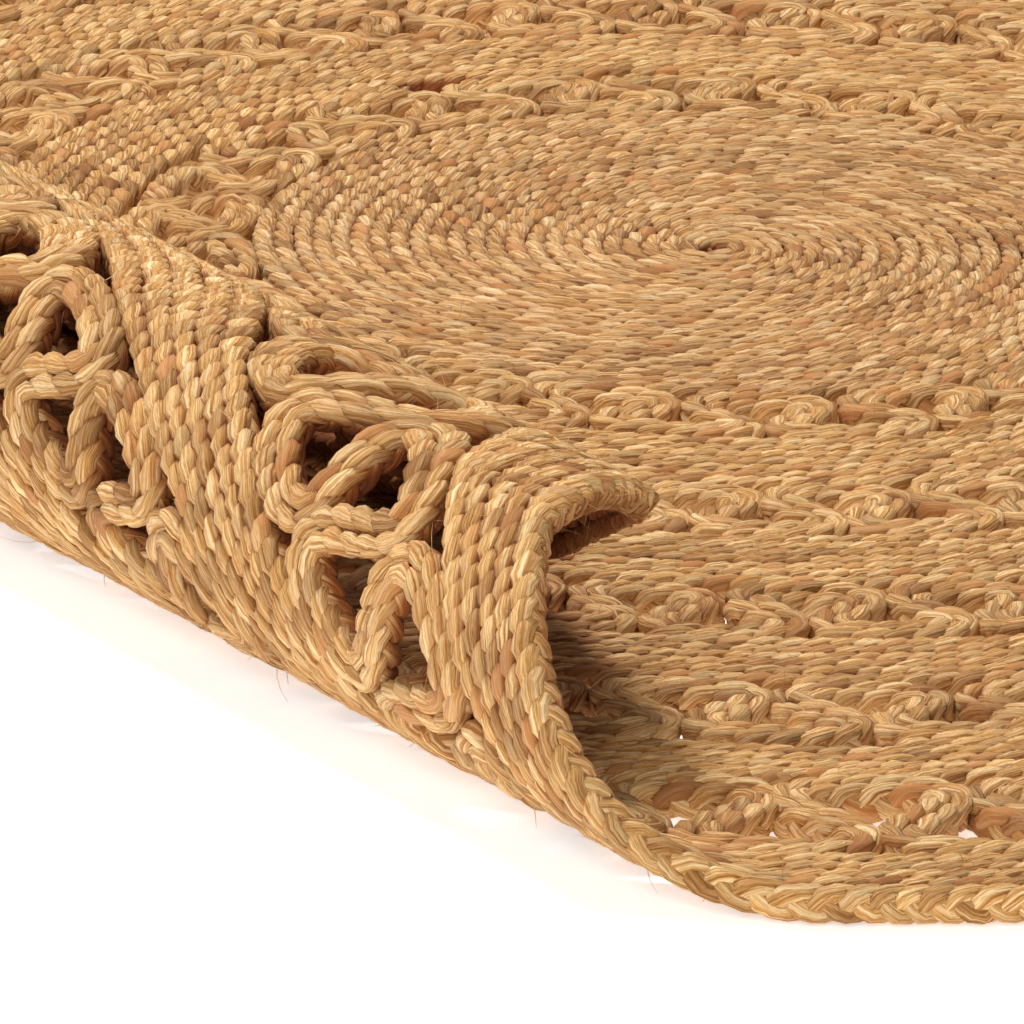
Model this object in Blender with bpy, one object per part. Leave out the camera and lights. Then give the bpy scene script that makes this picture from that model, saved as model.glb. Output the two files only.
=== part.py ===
"""A round rug of sewn jute braid with five openwork rings, one side of its edge curled up and over.

Every braid stands on its edge, so the rug is one braid width thick. From the centre outwards it is a
wound coil, then openwork rings and plain bands by turns, and a rim band. Each piece is drawn flat, cut
along the rulings of the curl, and bent over them, so that neighbours keep the same gap all the way.
Metres, +Z up, with the origin on the floor under the centre of the coil.
"""

from math import asin, atan2, cos, pi, radians, sin, sqrt, tan

import bmesh
import bpy
from mathutils import Matrix, Vector

# The braid
BRAID_WIDTH = 0.0095  # stands upright: the thickness of the rug
BRAID_THICKNESS = 0.0047  # lies across the rug: the width of one turn
SEAM_GAP = 0.0003  # between pieces that are sewn together

# The rings, from the centre outwards
CENTRE_TURNS = 24
LACE_WIDTHS = (0.0340, 0.0370, 0.0375, 0.0380, 0.0485)
LACE_PITCHES = (0.0385, 0.0354, 0.0363, 0.0415, 0.0430)  # one loop and the gap after it
BAND_TURNS = (7, 7, 6, 5)
RIM_TURNS = 5
LACE_BRAIDS = 2  # braids side by side along the line of an openwork ring
LOOP_CLEARANCE = 0.0012  # between neighbouring loops of an openwork ring, where they come closest
CIRCLE_STEPS = 72
LEAN_PASSES = 12  # the lean of a loop's sides sets how far its corners reach, and is set by it

# The curl: up over a roll, down behind it, and flat on the rug's upper face
FOLD_DISTANCE = 0.2379  # from the centre of the rug to the line where it leaves the floor
FOLD_HEADING = radians(55.9)  # of that line, measured from -X towards +Y
ROLL_RADIUS = 0.0322  # to the middle of the rug's thickness
CREST_RADIUS = 0.0380  # of the turn down behind the roll
LANDING_RADIUS = 0.0400  # of the turn back to level
REST_GAP = 0.0006  # under the flap, where it lies on the rug
# (distance along the curl, how far the rug has slid there along the roll)
SLIDES = ((0, 0), (0.030, -0.013), (0.090, -0.010), (0.130, 0.023))
RISE_STEPS = 9
FALL_STEPS = 4

ALONG = Vector((-cos(FOLD_HEADING), sin(FOLD_HEADING), 0))
ACROSS = Vector((-sin(FOLD_HEADING), -cos(FOLD_HEADING), 0))
UP = Vector((0, 0, 1))

COLOURS = {
    "coil": (0.56, 0.34, 0.15),
    "lace": (0.60, 0.38, 0.18),
    "band": (0.62, 0.39, 0.17),
    "rim": (0.64, 0.42, 0.20),
}


def curl_stations():
    """(distance along the curl, height of mid-thickness, place across, lean) of each ruling."""
    drop = 2 * ROLL_RADIUS - BRAID_WIDTH - REST_GAP
    dip = 2 * asin(sqrt(drop / (2 * (CREST_RADIUS + LANDING_RADIUS))))
    stations = []
    for step in range(RISE_STEPS + 1):
        lean = pi * step / RISE_STEPS
        height = BRAID_WIDTH / 2 + ROLL_RADIUS * (1 - cos(lean))
        stations.append((ROLL_RADIUS * lean, height, ROLL_RADIUS * sin(lean), lean))
    start, top, place, _ = stations[-1]
    for step in range(1, FALL_STEPS + 1):
        more = dip * step / FALL_STEPS
        height = top - CREST_RADIUS * (1 - cos(more))
        stations.append((start + CREST_RADIUS * more, height, place - CREST_RADIUS * sin(more), pi + more))
    start, top, place, _ = stations[-1]
    for step in range(1, FALL_STEPS + 1):
        left = dip * (1 - step / FALL_STEPS)
        height = top - LANDING_RADIUS * (cos(left) - cos(dip))
        across = place - LANDING_RADIUS * (sin(dip) - sin(left))
        stations.append((start + LANDING_RADIUS * (dip - left), height, across, pi + left))
    return stations


STATIONS = curl_stations()


def slide(distance):
    """How far a point this far along the curl has slid along the roll."""
    for (start, low), (end, high) in zip(SLIDES, SLIDES[1:]):
        if distance < end:
            return low + (high - low) * max(distance - start, 0) / (end - start)
    return high


def at_station(station, along, height):
    """The point on one ruling, at this place along it and this height through the rug."""
    distance, middle, across, lean = station
    above = height - BRAID_WIDTH / 2
    return (
        ACROSS * (FOLD_DISTANCE + across - above * sin(lean))
        + ALONG * (along - slide(distance))
        + UP * (middle + above * cos(lean))
    )


def bent(point):
    """A point of the flat rug, carried to its place in the curl. Between two rulings, the strip above
    its diagonal plane and the strip below it each move without distortion."""
    distance = point.dot(ACROSS) - FOLD_DISTANCE
    along = point.dot(ALONG)
    if distance <= 0:
        return point
    for first, second in zip(STATIONS, STATIONS[1:]):
        if distance <= second[0]:
            share = (distance - first[0]) / (second[0] - first[0])
            rise = point.z / BRAID_WIDTH
            near_low, far_high = at_station(first, along, 0), at_station(second, along, BRAID_WIDTH)
            if rise < share:
                far_low = at_station(second, along, 0)
                return near_low + (far_low - near_low) * share + (far_high - far_low) * rise
            near_high = at_station(first, along, BRAID_WIDTH)
            return near_low + (near_high - near_low) * rise + (far_high - near_high) * share
    last = STATIONS[-1]
    return at_station(last, along, point.z) - ACROSS * (distance - last[0])


def cut_along(mesh, distance, normal):
    """Divides every face at a plane that meets the flat rug's underside this far along the curl."""
    bmesh.ops.bisect_plane(
        mesh,
        geom=mesh.verts[:] + mesh.edges[:] + mesh.faces[:],
        dist=1e-6,
        plane_co=ACROSS * (FOLD_DISTANCE + distance),
        plane_no=normal,
    )


def jute(name, colour):
    material = bpy.data.materials.new(name)
    material.use_nodes = True
    shader = material.node_tree.nodes["Principled BSDF"]
    shader.inputs["Base Color"].default_value = (*colour, 1)
    shader.inputs["Roughness"].default_value = 0.85
    shader.inputs["Metallic"].default_value = 0
    return material


def finish_piece(name, mesh, colour):
    """Cuts a flat closed mesh along the rulings, bends it, and makes it an object."""
    for station in STATIONS:
        cut_along(mesh, station[0], ACROSS)
    for first, second in zip(STATIONS, STATIONS[1:]):
        slope = ACROSS * (second[0] - first[0]) + UP * BRAID_WIDTH
        cut_along(mesh, first[0], ALONG.cross(slope).normalized())
    bmesh.ops.triangulate(mesh, faces=mesh.faces[:])
    for vertex in mesh.verts:
        vertex.co = bent(vertex.co)
    bmesh.ops.recalc_face_normals(mesh, faces=mesh.faces[:])
    data = bpy.data.meshes.new(name)
    mesh.to_mesh(data)
    mesh.free()
    data.materials.append(jute(name + "_jute", colour))
    piece = bpy.data.objects.new(name, data)
    bpy.context.scene.collection.objects.link(piece)
    return piece


def upright_wall(left, right):
    """A closed wall, one braid width high, between two closed outlines with as many points each."""
    mesh = bmesh.new()
    corners = []
    for outline, height in ((left, 0), (right, 0), (right, BRAID_WIDTH), (left, BRAID_WIDTH)):
        corners.append([mesh.verts.new((x, y, height)) for x, y in outline])
    count = len(left)
    for index in range(count):
        after = (index + 1) % count
        for side in range(4):
            first, second = corners[side], corners[(side + 1) % 4]
            mesh.faces.new((first[index], first[after], second[after], second[index]))
    return mesh


def circle(radius):
    turns = [2 * pi * step / CIRCLE_STEPS for step in range(CIRCLE_STEPS)]
    return [(radius * cos(turn), radius * sin(turn)) for turn in turns]


def plain_band(name, inner, outer, colour):
    """A band of turns wound side by side. Its inner outline clears a true circle between its points."""
    clear_inner = (inner + SEAM_GAP) / cos(pi / CIRCLE_STEPS)
    return finish_piece(name, upright_wall(circle(clear_inner), circle(outer)), colour)


def centre_coil(name, radius, colour):
    mesh = bmesh.new()
    rims = []
    for height in (0, BRAID_WIDTH):
        rims.append([mesh.verts.new((x, y, height)) for x, y in circle(radius)])
        mesh.faces.new(rims[-1])
    for index in range(CIRCLE_STEPS):
        after = (index + 1) % CIRCLE_STEPS
        mesh.faces.new((rims[0][index], rims[0][after], rims[1][after], rims[1][index]))
    return finish_piece(name, mesh, colour)


def loop_line(inner, outer, pitch, width):
    """The middle line of an openwork ring, four corners to each loop. The loops open inwards and
    outwards by turns. Each runs along its band as far as it can, so its sides lean back and its
    mouth is narrower than its far end."""
    count = round(pi * (inner + outer) / pitch)
    step = pi / count  # between the middle of an inward loop and that of the next outward one
    low = inner + SEAM_GAP + width / 2
    reach_low = reach_high = half_high = width / 2
    for _ in range(LEAN_PASSES):
        high = sqrt(outer**2 - (half_high + reach_high) ** 2) - width / 2
        margin = LOOP_CLEARANCE / (2 * cos(step))
        half_low = (low - width / 2) * tan(step) - reach_low - margin
        half_high = (high + width / 2) * tan(step) - reach_high - margin
        first = Vector((low, half_low))
        second = Vector((high, -half_high))
        second.rotate(Matrix.Rotation(step, 2))
        side = second - first
        lean = -atan2(side.y, side.x)
        reach_low = width / 2 * tan(pi / 4 + lean / 2)
        reach_high = width / 2 * tan(pi / 4 + (lean + step) / 2)
    points = []
    for index in range(2 * count):
        place, half = (high, half_high) if index % 2 else (low, half_low)
        for end in (-half, half):
            point = Vector((place, end))
            point.rotate(Matrix.Rotation(index * step, 2))
            points.append(point)
    return points


def offset_outline(points, distance):
    """The closed line moved sideways by this much, with mitred corners."""
    moved = []
    count = len(points)
    for index, point in enumerate(points):
        back = (point - points[index - 1]).normalized()
        ahead = (points[(index + 1) % count] - point).normalized()
        bisector = (back + ahead).normalized()
        side = Vector((-bisector.y, bisector.x))
        moved.append(tuple(point + side * (distance / bisector.dot(back))))
    return moved


def lace_ring(name, inner, outer, pitch, colour):
    """An openwork ring: braids sewn side by side and led in loops between two bands."""
    width = LACE_BRAIDS * BRAID_THICKNESS
    line = loop_line(inner, outer, pitch, width)
    left = offset_outline(line, width / 2)
    right = offset_outline(line, -width / 2)
    return finish_piece(name, upright_wall(left, right), colour)


def build_rug():
    radius = CENTRE_TURNS * BRAID_THICKNESS
    centre_coil("centre_coil", radius, COLOURS["coil"])
    for index, (width, pitch) in enumerate(zip(LACE_WIDTHS, LACE_PITCHES), start=1):
        lace_ring(f"lace_ring_{index}", radius, radius + width, pitch, COLOURS["lace"])
        radius += width
        last = index == len(LACE_WIDTHS)
        name = "rim_band" if last else f"plain_band_{index}"
        turns = RIM_TURNS if last else BAND_TURNS[index - 1]
        plain_band(name, radius, radius + turns * BRAID_THICKNESS, COLOURS["rim" if last else "band"])
        radius += turns * BRAID_THICKNESS


for leftover in list(bpy.data.objects):
    bpy.data.objects.remove(leftover)
build_rug()
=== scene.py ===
"""The braided rug as it looks: every turn and loop is a three-strand braid. The braids are laid out
flat, strand by strand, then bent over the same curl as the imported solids. Metres, +Z up."""

from math import asin, cos, pi, radians, sin, sqrt

import bpy
import numpy as np
from mathutils import Matrix, Vector


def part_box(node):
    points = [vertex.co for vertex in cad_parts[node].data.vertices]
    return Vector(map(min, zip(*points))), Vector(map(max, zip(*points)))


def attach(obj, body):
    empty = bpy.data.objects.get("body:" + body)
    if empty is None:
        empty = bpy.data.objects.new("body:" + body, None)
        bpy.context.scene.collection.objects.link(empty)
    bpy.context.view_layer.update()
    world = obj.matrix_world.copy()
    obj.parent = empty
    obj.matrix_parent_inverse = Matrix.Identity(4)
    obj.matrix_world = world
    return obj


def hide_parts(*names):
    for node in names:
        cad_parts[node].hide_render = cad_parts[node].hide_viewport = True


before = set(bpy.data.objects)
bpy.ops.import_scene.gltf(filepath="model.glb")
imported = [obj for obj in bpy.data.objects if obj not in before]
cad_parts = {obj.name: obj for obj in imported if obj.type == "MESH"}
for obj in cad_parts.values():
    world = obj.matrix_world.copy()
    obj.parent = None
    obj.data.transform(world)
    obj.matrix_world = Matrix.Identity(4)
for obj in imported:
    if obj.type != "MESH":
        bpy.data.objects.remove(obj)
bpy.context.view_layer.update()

# Sizes that part.py sets, in its words
BRAID_THICKNESS = 0.0047
BRAID_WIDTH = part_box("centre_coil")[1].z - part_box("centre_coil")[0].z
RUG_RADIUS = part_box("rim_band")[1].x
CENTRE_TURNS = 24
BAND_TURNS = (7, 7, 6, 5)
RIM_TURNS = 5
LACE_PITCHES = (0.0385, 0.0354, 0.0363, 0.0415, 0.0430)
FOLD_DISTANCE = 0.2379
FOLD_HEADING = radians(55.9)
ROLL_RADIUS = 0.0322
CREST_RADIUS = 0.0380
LANDING_RADIUS = 0.0400
REST_GAP = 0.0006
SLIDES = ((0, 0), (0.030, -0.013), (0.090, -0.010), (0.130, 0.023))

# The braid. It stands on edge, so its width is upright.
PERIOD = 0.0177  # along the braid, from one turn of a strand to its next on the same edge
LACE_PERIOD = 0.0208  # of the openwork, which is braided looser
SWING = 0.0028  # of a strand's middle up and down the braid's width
WEAVE = 0.0009  # of a strand's middle through the braid's thickness
FLAT_FROM = 0.0033  # above and below the middle, where strands start to be pressed flat
PRESSED = 0.6  # share of a strand's height beyond that which is pressed away
STEPS = 10  # along one period
LACE_STEPS = 14  # the same, for the tighter curves of the openwork
AROUND = 7  # round a strand
FIBRE_TWIST = 90.0  # radians a metre that the fibres turn round their strand
STRAND_HALF = 0.00268  # half a strand's own size along the braid's width, on average
# These three also set where the shade painted into a strand's colour in its seams fades out.
SEAM_DEPTH = (0.0022, 0.0041)  # from the rug's middle: a strand comes out of its seams between these
SIDE_SEAM = (0.0016, 0.0004)  # from a band's free edge, the same
LOOSE_SEAM = (0.0008, 0.0019)  # from the middle of a braid in the openwork, the same
LOOP_SAMPLES = 96  # points on the line of one pair of openwork loops
LOOP_TOUCH = 1.02  # thicknesses of braid between the middles of loops that touch
TOUCH_DEPTH = 0.707  # of a loop's depth, where neighbours touch
JOG_FROM = 0.95  # share of a turn after which a wound braid steps out to its next turn
COIL_FROM = 0.35  # turns from the very middle, where the coil's braid begins
BAND_START = (1.2, 0.9)  # where the bands' braids begin: an angle, and a step from band to band
FIBRE_RADIUS = 0.0001  # of a loose fibre, where it leaves its strand
FIBRE_REACH = 0.0014  # a third of a loose fibre's usual length
LONGEST_FIBRE = 0.010
PLY_SIZE = 0.002  # radius of a strand in the fibre space that the materials read
SPAN = BRAID_WIDTH / 2  # from the middle of the rug to its upper face

ALONG = np.array([-cos(FOLD_HEADING), sin(FOLD_HEADING), 0])  # the roll's axis
ACROSS = np.array([-sin(FOLD_HEADING), -cos(FOLD_HEADING), 0])  # from the centre out over the roll

chance = np.random.default_rng(7)


def eased(values, low, high):
    """0 below the low end, 1 above the high end, and smooth between."""
    share = np.clip((values - low) / (high - low), 0, 1)
    return share**2 * (3 - 2 * share)


# The curl


def curl_profile(distance):
    """How far across, how high and how leaned the middle of the rug is, this far along the curl."""
    drop = 2 * ROLL_RADIUS - BRAID_WIDTH - REST_GAP
    dip = 2 * asin(sqrt(drop / (2 * (CREST_RADIUS + LANDING_RADIUS))))
    rise = np.clip(distance / ROLL_RADIUS, 0, pi)
    left = distance - ROLL_RADIUS * pi
    fall = np.clip(left / CREST_RADIUS, 0, dip)
    left = left - CREST_RADIUS * dip
    level = np.clip(left / LANDING_RADIUS, 0, dip)
    left = np.clip(left - LANDING_RADIUS * dip, 0, None)
    across = np.minimum(distance, 0) + ROLL_RADIUS * np.sin(rise) - CREST_RADIUS * np.sin(fall)
    across = across - LANDING_RADIUS * (sin(dip) - np.sin(dip - level)) - left
    height = ROLL_RADIUS * (1 - np.cos(rise)) - CREST_RADIUS * (1 - np.cos(fall))
    height = height - LANDING_RADIUS * (np.cos(dip - level) - cos(dip))
    return across, SPAN + height, rise + fall - level


def bend(points):
    """Points of the flat rug, carried to their places in the curl."""
    distance = points @ ACROSS - FOLD_DISTANCE
    across, height, lean = curl_profile(distance)
    above = points[:, 2] - SPAN
    along = points @ ALONG - np.interp(distance, *np.transpose(SLIDES))
    out = FOLD_DISTANCE + across - above * np.sin(lean)
    bent = out[:, None] * ACROSS + along[:, None] * ALONG
    bent[:, 2] = height + above * np.cos(lean)
    return bent


# Lines that braids follow, drawn flat


def wander(count, spacing, closed):
    """A smooth random line of this many values, about 1 high, with its knots this far apart."""
    knots = max(int(round(count / spacing)), 3)
    values = chance.normal(size=knots + 1)
    if closed:
        values[-1] = values[0]
    place = np.arange(count) * knots / (count if closed else max(count - 1, 1))
    low = np.minimum(place.astype(int), knots - 1)
    share = (1 - np.cos(pi * (place - low))) / 2
    return values[low] * (1 - share) + values[low + 1] * share


def spaced(line, closed, period, steps):
    """The line with even steps, a whole number of braid periods long, and its length."""
    ends = np.vstack([line, line[:1]]) if closed else line
    run = np.concatenate([[0], np.cumsum(np.linalg.norm(np.diff(ends, axis=0), axis=1))])
    count = max(int(round(run[-1] / period)), 2) * steps
    at = np.linspace(0, run[-1], count, endpoint=not closed)
    return np.stack([np.interp(at, run, ends[:, axis]) for axis in (0, 1)], 1), run[-1]


def wound(inner, turns, start):
    """Turns wound side by side from this angle outwards, each stepping out over a short jog."""
    turn = np.linspace(0, turns, int(turns * 720) + 1)
    step = np.minimum(np.floor(turn) + eased(turn % 1, JOG_FROM, 1), turns - 1)
    radius = inner + BRAID_THICKNESS * (step + 0.5)
    angle = 2 * pi * turn + start
    return np.stack([radius * np.cos(angle), radius * np.sin(angle)], 1)


def coiled(turns):
    """The spiral of the centre. Towards its edge it turns into rings with short jogs."""
    turn = np.linspace(COIL_FROM, turns, int(turns * 360))
    part = turn % 1
    ringed = eased(turn, turns / 3, turns - 1)
    step = np.floor(turn) + 0.5 + (1 - ringed) * (part - 0.5) + ringed * eased(part, JOG_FROM, 1)
    radius = BRAID_THICKNESS * np.minimum(step, turns - 0.5)
    angle = 2 * pi * turn
    return np.stack([radius * np.cos(angle), radius * np.sin(angle)], 1)


def looped(inner, outer, pitch):
    """The middle line of an openwork ring. Its loops open inwards and outwards by turns, and lean
    back until neighbours touch at their mouths."""
    count = round(pi * (inner + outer) / pitch)
    middle = (inner + outer) / 2
    depth = (outer - inner) / 2 - BRAID_THICKNESS
    turn = np.arange(count * LOOP_SAMPLES) * 2 * pi / LOOP_SAMPLES
    each = np.floor((turn + pi) / pi).astype(int) % (2 * count)
    share = (1 - np.cos((turn + pi) % pi)) / 2

    def per_loop(size):
        values = chance.normal(size=2 * count) * size
        return values[each] * (1 - share) + values[(each + 1) % (2 * count)] * share

    room = 3 * pi / (4 * count)
    spread_low = room - BRAID_THICKNESS * LOOP_TOUCH / (middle - TOUCH_DEPTH * depth)
    spread_high = room - BRAID_THICKNESS * LOOP_TOUCH / (middle + TOUCH_DEPTH * depth)
    spread = (spread_low * (1 + np.cos(turn)) + spread_high * (1 - np.cos(turn))) / 2
    spread = spread * (1 + per_loop(0.05))
    angle = turn / count + spread * np.sin(2 * turn) + per_loop(0.0007) / middle
    radius = middle - depth * np.cos(turn) * (1 - np.abs(per_loop(0.03)))
    return np.stack([radius * np.cos(angle), radius * np.sin(angle)], 1)


def side_step(line, distance):
    """A closed line moved sideways."""
    ahead = np.roll(line, -1, 0) - np.roll(line, 1, 0)
    ahead /= np.linalg.norm(ahead, axis=1)[:, None]
    return line + distance * np.stack([ahead[:, 1], -ahead[:, 0]], 1)


# Braids


def slope(values, closed):
    """How fast the values change from each point of a line to the next."""
    if closed:
        return (np.roll(values, -1, 0) - np.roll(values, 1, 0)) / 2
    return np.gradient(values, axis=0)


def unit(vectors):
    """The vectors at length 1."""
    return vectors / np.maximum(np.linalg.norm(vectors, axis=-1, keepdims=True), 1e-12)


def loose_fibres(ring, middle, fibre, tint_and_painted_shade, spacing, length):
    """Thin fibres that stand off a strand, one about every so often along it."""
    count = max(int(length / spacing), 1)
    rows = chance.integers(0, len(ring) - 1, count)
    columns = chance.integers(0, ring.shape[1], count)
    start = middle[rows] * 0.3 + ring[rows, columns] * 0.7
    outward = unit(ring[rows, columns] - middle[rows])
    along = unit(middle[rows + 1] - middle[rows]) * chance.choice([-1, 1], count)[:, None]
    reach = chance.gamma(3.0, FIBRE_REACH, count)[:, None].clip(0, LONGEST_FIBRE)
    curl = unit(chance.normal(size=(count, 3)))
    ways = unit(outward * chance.uniform(0.2, 1.0, (count, 1)) + along + 0.5 * curl)
    bends = unit(np.cross(ways, curl)) * chance.uniform(-1.1, 1.1, (count, 1))
    steps = np.linspace(0, 1, 5)[:, None, None]
    middles = start + reach * (steps * ways + 0.5 * steps**2 * bends)
    thickness = FIBRE_RADIUS * (1 - 0.7 * steps) * chance.uniform(0.7, 1.3, (count, 1))
    flat = unit(np.cross(ways, bends + 1e-9))
    shape = (5, 3, 3)  # points along the fibre, points round it, and their places
    fibres = []
    for index in range(count):
        sides = np.stack([flat[index], bends[index], -flat[index] - bends[index]])
        points = middles[:, index, None] + thickness[:, index, None] * unit(sides)
        spot = np.broadcast_to(fibre[rows[index], columns[index]], shape)
        # A loose fibre's tone is raised, and no shade is painted on it.
        shade = np.broadcast_to(tint_and_painted_shade[rows[index], columns[index]] * (1, 1, 0) + (1.5, 0, 0), shape)
        fibres.append((points, spot, shade, False))
    return fibres


def roll_shade_mask(points):
    """How much shade is painted into the colour of the rug's upper face inside the roll, where it
    faces
    itself: up to 1 there, and 0 elsewhere. It is less on the part that lies on the floor, which
    light reaches."""
    distance = points @ ACROSS - FOLD_DISTANCE
    facing = np.where(distance < ROLL_RADIUS * pi / 2, ROLL_RADIUS * pi - distance, distance)
    within = RUG_RADIUS - np.hypot(FOLD_DISTANCE + facing, points @ ALONG)
    share = 0.45 + 0.55 * eased(distance, ROLL_RADIUS, ROLL_RADIUS * 2)
    upper_face = eased(points[..., 2], BRAID_WIDTH * 0.3, BRAID_WIDTH * 0.7)
    return share * eased(within, -0.012, 0.010) * upper_face


def strand_rings(middle, side, turn, loose, closed, steps):
    """The rings of points round a strand, and for each ring the way out to the braid's side."""
    count = len(middle)
    plump = 1 + 0.07 * wander(count, steps * 0.6, closed)
    thick = BRAID_THICKNESS * (0.49 - 0.02 * loose + 0.10 * np.cos(4 * turn)) * plump
    wide = STRAND_HALF - 0.00012 * np.cos(2 * turn)
    wide = wide * (1 + 0.08 * wander(count, steps * 0.7, closed))
    forward = unit(slope(middle, closed))
    outward = np.column_stack([side, np.zeros(count)])
    outward = unit(outward - (outward * forward).sum(1)[:, None] * forward)
    broad = np.cross(forward, outward)
    angle = 2 * pi * np.arange(AROUND) / AROUND
    ring = (
        middle[:, None]
        + outward[:, None] * (thick[:, None] * np.cos(angle))[..., None]
        + broad[:, None] * (wide[:, None] * np.sin(angle))[..., None]
    )
    above = ring[..., 2] - SPAN
    beyond = np.maximum(np.abs(above) - FLAT_FROM, 0)
    ring[..., 2] -= np.sign(above) * beyond * PRESSED
    ring[..., 2] = np.maximum(ring[..., 2], 0.0)
    if not closed:
        to_end = np.minimum(np.arange(count), np.arange(count)[::-1])
        taper = np.clip(to_end / (steps / 2), 0.05, 1)[:, None, None]
        ring = middle[:, None] + (ring - middle[:, None]) * taper
    return ring, outward


def fibre_space(count, length):
    """For each point of a strand, its place in a space whose first axis runs along the fibres."""
    angle = 2 * pi * np.arange(AROUND) / AROUND
    run = np.arange(count) * length / count
    twisted = angle[None] + FIBRE_TWIST * run[:, None] + chance.uniform(0, 2 * pi)
    along = np.broadcast_to(run[:, None], twisted.shape) + chance.uniform(0, 100)
    return np.stack([along, PLY_SIZE * np.cos(twisted), PLY_SIZE * np.sin(twisted)], -1)


def clear_of_seam_shade(ring, offset, open_edges):
    """1 where a strand is out in the open, and 0 in a seam; one less this is the shade painted into
    the strand's colour in its seams. The offset is how far each point lies to the side of its
    braid's middle."""
    height = eased(np.abs(ring[..., 2] - SPAN), *SEAM_DEPTH)
    if open_edges:
        radius = np.linalg.norm(ring[..., :2], axis=-1)
        inner, outer = open_edges
        start, end = SIDE_SEAM
        sides = eased(radius, outer - start, outer - end)
        sides = np.maximum(sides, eased(-radius, -inner - start, -inner - end))
    else:
        sides = 0.85 * eased(np.abs(offset), *LOOSE_SEAM)
    return np.maximum(height, sides)


def braid(line, closed, open_edges=None, loose=0.0, fuzz=0.03):
    """The three strands of one braid on this flat line, with their loose fibres, as a list of
    (points, fibre space, tint_and_painted_shade, closed). The tint_and_painted_shade of a point is
    its strand's tone, its hue, and the amount of shade painted into its colour, in the seams between
    strands and inside the roll. A band's braid has the band's inner and outer radius as its open
    edges, because its other sides lie tucked between its own turns."""
    period = PERIOD + (LACE_PERIOD - PERIOD) * loose
    steps = LACE_STEPS if loose else STEPS
    line, length = spaced(line, closed, period, steps)
    count = len(line)
    ahead = unit(slope(line, closed))
    side = np.stack([ahead[:, 1], -ahead[:, 0]], 1)
    cycles = round(length / period) * (1 if closed else (count - 1) / count)
    phase = 2 * pi * cycles * np.arange(count) / (count if closed else count - 1)
    phase = phase + chance.uniform(0, 2 * pi) + 0.35 * wander(count, steps * 1.3, closed)
    phase = phase + 2.2 * wander(count, steps * 9, closed)
    tilt = (0.05 + 0.13 * loose) * wander(count, steps * 2, closed)
    shift = (0.00015 + 0.0001 * loose) * wander(count, steps, closed)
    raised = (0.00015 + 0.0005 * loose) * wander(count, steps * 2, closed)
    strands = []
    for strand in range(3):
        turn = phase + 2 * pi * strand / 3
        across = WEAVE * np.sin(2 * turn)
        up = SWING * np.sin(turn) * (1 + 0.04 * wander(count, steps, closed))
        out = across * np.cos(tilt) - up * np.sin(tilt) + shift
        high = SPAN + across * np.sin(tilt) + up * np.cos(tilt) + raised
        middle = np.column_stack([line + side * out[:, None], high])
        ring, outward = strand_rings(middle, side, turn, loose, closed, steps)
        fibre = fibre_space(count, length)
        tone = 0.8 * wander(count, steps * 0.6, closed) + 0.6 * wander(count, steps * 5, closed)
        hue = 0.8 * wander(count, steps * 0.8, closed) + 0.7 * wander(count, steps * 7, closed)
        offset = ((ring - middle[:, None]) * outward[:, None]).sum(-1) + across[:, None]
        # Painted shade: darkest in the seams between strands and inside the roll.
        painted_shade_amount = 1 - clear_of_seam_shade(ring, offset, open_edges) + roll_shade_mask(ring)
        tone, hue = (np.broadcast_to(value[:, None], painted_shade_amount.shape) for value in (tone, hue))
        tint_and_painted_shade = np.stack([tone, hue, painted_shade_amount], -1)
        strands.append((ring, fibre, tint_and_painted_shade, closed))
        strands += loose_fibres(ring, middle, fibre, tint_and_painted_shade, fuzz, length)
    return strands


def strand_faces(count, around, closed, first):
    """The quads of a tube of this many rings, numbered from its first point."""
    rows = np.arange(count if closed else count - 1)
    columns = np.arange(around)
    here = rows[:, None] * around
    then = ((rows + 1) % count)[:, None] * around
    after = (columns + 1) % around
    quads = np.stack([here + columns, here + after, then + after, then + columns], -1)
    return (quads + first).reshape(-1, 4)


def add_attribute(mesh, name, values):
    """Gives each point of the mesh a vector that its material reads."""
    layer = mesh.attributes.new(name, "FLOAT_VECTOR", "POINT")
    layer.data.foreach_set("vector", np.ascontiguousarray(values, np.float32).ravel())


def mesh_object(name, points, faces):
    """A smooth object of these quads."""
    mesh = bpy.data.meshes.new(name)
    corners = faces.shape[1]
    mesh.vertices.add(len(points))
    mesh.vertices.foreach_set("co", np.ascontiguousarray(points, np.float32).ravel())
    mesh.loops.add(faces.size)
    mesh.loops.foreach_set("vertex_index", np.ascontiguousarray(faces, np.int32).ravel())
    mesh.polygons.add(len(faces))
    mesh.polygons.foreach_set("loop_start", np.arange(0, faces.size, corners, dtype=np.int32))
    mesh.polygons.foreach_set("use_smooth", np.full(len(faces), True))
    mesh.update(calc_edges=True)
    thing = bpy.data.objects.new(name, mesh)
    bpy.context.scene.collection.objects.link(thing)
    return thing


def braided_piece(name, strands, node, material):
    """One piece of all these strands, bent over the curl, that stands for the node."""
    points, fibres, tints_and_painted_shade, faces = [], [], [], []
    first = 0
    for ring, fibre, tint_and_painted_shade, closed in strands:
        faces.append(strand_faces(len(ring), ring.shape[1], closed, first))
        first += ring.shape[0] * ring.shape[1]
        points.append(ring.reshape(-1, 3))
        fibres.append(fibre.reshape(-1, 3))
        tints_and_painted_shade.append(tint_and_painted_shade.reshape(-1, 3))
    points = bend(np.concatenate(points))
    points[:, 2] = np.maximum(points[:, 2], 0)
    piece = mesh_object(name, points, np.concatenate(faces))
    add_attribute(piece.data, "fibre", np.concatenate(fibres))
    # Its third value is the amount of painted shade that the material reads.
    add_attribute(piece.data, "tint_and_painted_shade", np.concatenate(tints_and_painted_shade))
    piece.data.materials.append(material)
    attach(piece, "root")
    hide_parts(node)
    return piece


# Materials


def new_material(name):
    """A material with its nodes and links."""
    material = bpy.data.materials.new(name)
    material.use_nodes = True
    return material, material.node_tree.nodes, material.node_tree.links


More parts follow.
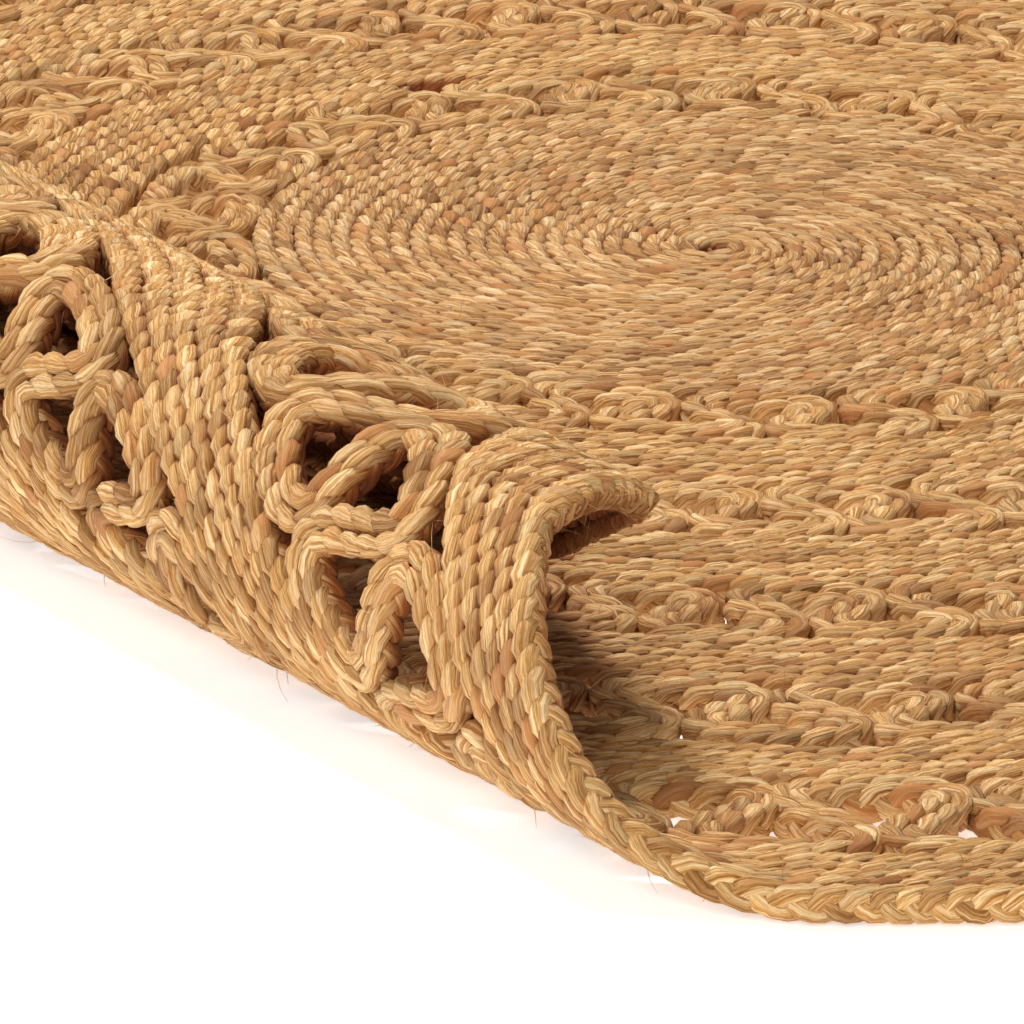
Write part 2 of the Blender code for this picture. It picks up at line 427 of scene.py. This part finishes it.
def jute(name, lightness):
    """Jute: long fine fibres along each strand, strands that differ in tone and hue, and shade
    painted into the colour in the seams between strands and inside the roll."""
    material, nodes, links = new_material(name)
    shader = nodes["Principled BSDF"]
    shader.inputs["Specular IOR Level"].default_value = 0.24
    shader.inputs["Sheen Weight"].default_value = 0.06
    shader.inputs["Sheen Tint"].default_value = (1.0, 0.80, 0.55, 1)

    def make(kind, **settings):
        node = nodes.new(kind)
        for key, value in settings.items():
            setattr(node, key, value)
        return node

    def streaks(along, across, detail):  # this many a metre
        place = make("ShaderNodeMapping")
        place.inputs["Scale"].default_value = (along, across, across)
        links.new(fibre.outputs["Vector"], place.inputs["Vector"])
        noise = make("ShaderNodeTexNoise")
        noise.inputs["Scale"].default_value = 1
        noise.inputs["Detail"].default_value = detail
        noise.inputs["Roughness"].default_value = 0.6
        links.new(place.outputs["Vector"], noise.inputs["Vector"])
        return noise.outputs["Fac"]

    def ramp(source, stops):
        node = make("ShaderNodeValToRGB")
        points = node.color_ramp.elements
        while len(points) < len(stops):
            points.new(0.5)
        for point, (place, colour) in zip(points, stops):
            point.position = place
            point.color = (*colour, 1)
        links.new(source, node.inputs["Fac"])
        return node.outputs["Color"]

    def mix(kind, factor, first, second):
        node = make("ShaderNodeMix", data_type="RGBA", blend_type=kind)
        for index, value in ((0, factor), (6, first), (7, second)):
            socket = node.inputs[index]
            if hasattr(value, "links"):
                links.new(value, socket)
            else:
                socket.default_value = value
        return node.outputs[2]

    def level(source, low, high, start=0.0, end=1.0):
        node = make("ShaderNodeMapRange")
        node.inputs["From Min"].default_value = start
        node.inputs["From Max"].default_value = end
        node.inputs["To Min"].default_value = low
        node.inputs["To Max"].default_value = high
        links.new(source, node.inputs["Value"])
        return node.outputs["Result"]

    fibre = make("ShaderNodeAttribute", attribute_name="fibre")
    tint_and_painted_shade = make("ShaderNodeAttribute", attribute_name="tint_and_painted_shade")
    split = make("ShaderNodeSeparateXYZ")
    links.new(tint_and_painted_shade.outputs["Vector"], split.inputs["Vector"])
    # The third value is the amount of shade painted into the colour.
    strand_tone, strand_hue, painted_shade_amount = (split.outputs[axis] for axis in "XYZ")

    fine = streaks(90, 4800, 2)
    broad = streaks(50, 1500, 3)
    base = ramp(
        broad,
        (
            (0.32, (0.40 * lightness, 0.150 * lightness, 0.028)),
            (0.48, (0.68 * lightness, 0.365 * lightness, 0.118)),
            (0.64, (0.90 * lightness, 0.635 * lightness, 0.330)),
        ),
    )
    fine_tone = ramp(
        fine,
        (
            (0.36, (0.46, 0.33, 0.19)),
            (0.48, (0.93, 0.91, 0.88)),
            (0.62, (1.10, 1.12, 1.15)),
        ),
    )
    colour = mix("MULTIPLY", 0.7, base, fine_tone)
    reddish = level(strand_hue, 0.0, 0.75, 0.6, 1.9)
    colour = mix("MIX", reddish, colour, (0.50, 0.195, 0.055, 1))
    greenish = level(strand_hue, 0.25, 0.0, -2.4, -1.2)
    colour = mix("MIX", greenish, colour, (0.58, 0.44, 0.20, 1))
    tone = ramp(
        level(strand_tone, 0.0, 1.0, -1.8, 1.8),
        (
            (0.0, (0.60, 0.52, 0.44)),
            (0.5, (1, 1, 1)),
            (1.0, (1.16, 1.19, 1.26)),
        ),
    )
    colour = mix("MULTIPLY", 1.0, colour, tone)
    # Painted shade in the seams between strands.
    painted_seam_shade = level(painted_shade_amount, 0.0, 0.95, 0.10, 0.85)
    colour = mix("MULTIPLY", painted_seam_shade, colour, (0.44, 0.20, 0.07, 1))
    # Painted shade inside the roll, where the rug faces itself.
    painted_roll_shade = level(painted_shade_amount, 0.0, 0.9, 0.9, 1.6)
    colour = mix("MULTIPLY", painted_roll_shade, colour, (0.30, 0.17, 0.10, 1))
    links.new(colour, shader.inputs["Base Color"])
    links.new(level(fine, 0.78, 0.50), shader.inputs["Roughness"])

    height = make("ShaderNodeMath", operation="ADD")
    links.new(fine, height.inputs[0])
    links.new(broad, height.inputs[1])
    bump = make("ShaderNodeBump")
    bump.inputs["Strength"].default_value = 0.8
    bump.inputs["Distance"].default_value = 0.0005
    links.new(height.outputs[0], bump.inputs["Height"])
    links.new(bump.outputs["Normal"], shader.inputs["Normal"])
    return material


# The rug


def build_pieces():
    """The coil, then each openwork ring and the band outside it, from the centre outwards."""
    coil_jute = jute("coil_jute", 0.96)
    lace_jute = jute("lace_jute", 1.0)
    band_jute = jute("band_jute", 1.02)
    rim_jute = jute("rim_jute", 1.02)
    strands = braid(coiled(CENTRE_TURNS), False, (0, CENTRE_TURNS * BRAID_THICKNESS))
    braided_piece("centre_coil_braid", strands, "centre_coil", coil_jute)
    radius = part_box("centre_coil")[1].x
    bands = [f"plain_band_{index}" for index in range(1, 5)] + ["rim_band"]
    turns = BAND_TURNS + (RIM_TURNS,)
    for index, (node, count, pitch) in enumerate(zip(bands, turns, LACE_PITCHES), start=1):
        is_rim = node == "rim_band"
        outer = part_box(node)[1].x
        inner = outer - count * BRAID_THICKNESS
        middle = looped(radius, inner, pitch)
        for side, word in ((0.5, "outer"), (-0.5, "inner")):
            line = side_step(middle, side * BRAID_THICKNESS)
            strands = braid(line, True, loose=1.0, fuzz=0.02)
            name = f"lace_ring_{index}_{word}_braid"
            braided_piece(name, strands, f"lace_ring_{index}", lace_jute)
        material = rim_jute if is_rim else band_jute
        fuzz = 0.010 if is_rim else 0.024
        line = wound(inner, count, BAND_START[0] + BAND_START[1] * index)
        strands = braid(line, False, (inner, outer), fuzz=fuzz)
        braided_piece(node + "_braid", strands, node, material)
        radius = outer


# The studio


def build_studio():
    """A white floor that glows a little, a high key light and a soft light from the front."""
    bpy.ops.mesh.primitive_plane_add(size=30, location=(0, 0, -0.0002))
    floor = bpy.context.object
    floor.name = "studio_floor"
    material, nodes, _ = new_material("studio_white")
    shader = nodes["Principled BSDF"]
    shader.inputs["Base Color"].default_value = (0.93, 0.93, 0.93, 1)
    shader.inputs["Roughness"].default_value = 0.7
    shader.inputs["Emission Color"].default_value = (1, 1, 1, 1)
    shader.inputs["Emission Strength"].default_value = 0.54
    floor.data.materials.append(material)
    world = bpy.data.worlds.new("studio")
    bpy.context.scene.world = world
    world.use_nodes = True
    background = world.node_tree.nodes["Background"]
    background.inputs["Color"].default_value = (1.0, 0.97, 0.93, 1)
    background.inputs["Strength"].default_value = 0.21
    for name, place, size, power in (
        ("key_light", (-0.7, 0.8, 2.5), 0.8, 76),
        ("front_light", (-0.7, -2.3, 1.5), 1.2, 31),
    ):
        light = bpy.data.lights.new(name, "AREA")
        light.size = size
        light.energy = power
        lamp = bpy.data.objects.new(name, light)
        lamp.location = place
        lamp.rotation_euler = (-Vector(place)).to_track_quat("-Z", "Y").to_euler()
        bpy.context.scene.collection.objects.link(lamp)


def build_camera():
    """A long lens, low and close to the floor, rolled a little."""
    pitch, roll, distance = radians(18.7), radians(1.75), 2.96
    target = Vector((-0.048, -0.2095, 0.0095))
    ahead = Vector((0, cos(pitch), -sin(pitch)))
    right = Vector((1, 0, 0))
    up = right.cross(ahead)
    right, up = right * cos(roll) + up * sin(roll), up * cos(roll) - right * sin(roll)
    data = bpy.data.cameras.new("camera")
    data.sensor_width = 36
    data.lens = 457
    data.clip_end = 50
    camera = bpy.data.objects.new("camera", data)
    turn = Matrix((right, up, -ahead)).transposed().to_4x4()
    camera.matrix_world = Matrix.Translation(target - distance * ahead) @ turn
    bpy.context.scene.collection.objects.link(camera)
    bpy.context.scene.camera = camera


build_camera()
build_studio()
build_pieces()
bpy.context.scene.view_settings.view_transform = "Standard"
